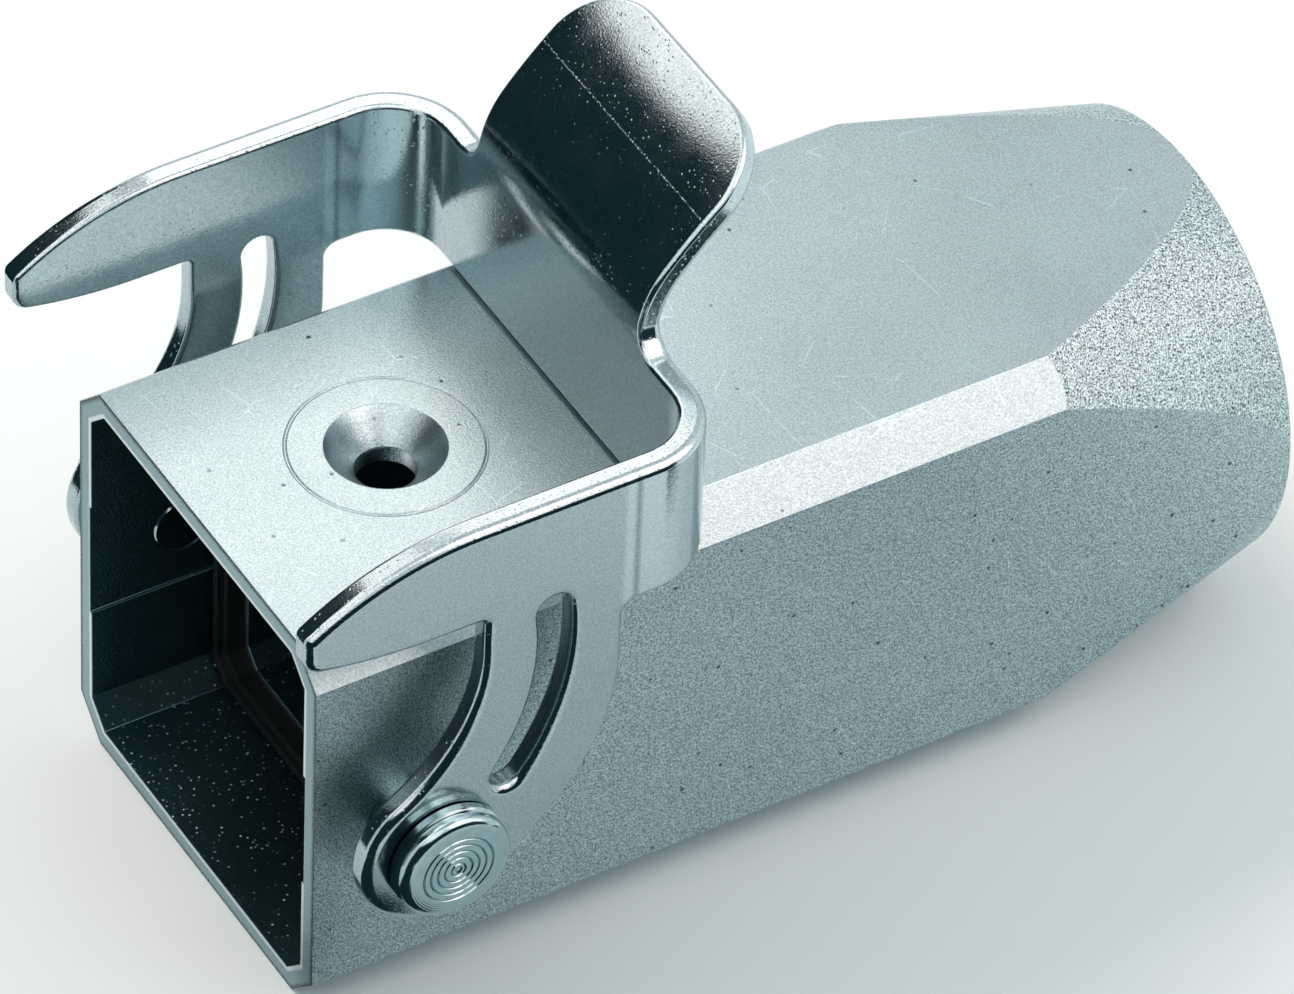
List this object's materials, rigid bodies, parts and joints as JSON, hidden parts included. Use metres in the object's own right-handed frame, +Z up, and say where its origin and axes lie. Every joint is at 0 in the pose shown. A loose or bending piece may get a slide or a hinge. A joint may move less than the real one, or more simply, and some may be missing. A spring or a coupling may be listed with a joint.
{
  "type": "coupling hood with locking lever",
  "caption": "Square die-cast coupling hood of a compact rectangular plug connector, with a round cable entry and a hooked sheet-steel locking lever that swings over the mating half.",
  "frame": {"origin": "centre of the square mating mouth, in the plane of its front rim", "axes": "+X along the body from the mating mouth to the cable entry, +Z up to the screw hole and the lever, Y across the body along the lever's pivot"},
  "size_m": [0.0644, 0.0366, 0.0458],
  "materials": {
    "die_cast_zinc": "matte die-cast zinc with a fine blasted grain",
    "sheet_steel": "satin stamped and tumbled steel sheet",
    "turned_steel": "turned steel with fine rings on the face",
    "seal_rubber": "matte moulded rubber"
  },
  "bodies": {
    "hood": {"housing": "die_cast_zinc", "pivot_pin_left": "turned_steel", "pivot_pin_right": "turned_steel", "mating_seal": "seal_rubber"},
    "lever": {"locking_lever": "sheet_steel"}
  },
  "joints": [
    {"name": "lever_swing", "type": "hinge", "parent": "hood", "child": "lever", "pos_m": [0.00575, 0, 0], "axis": [0, -1, 0], "range_deg": [0, 90]}
  ]
}
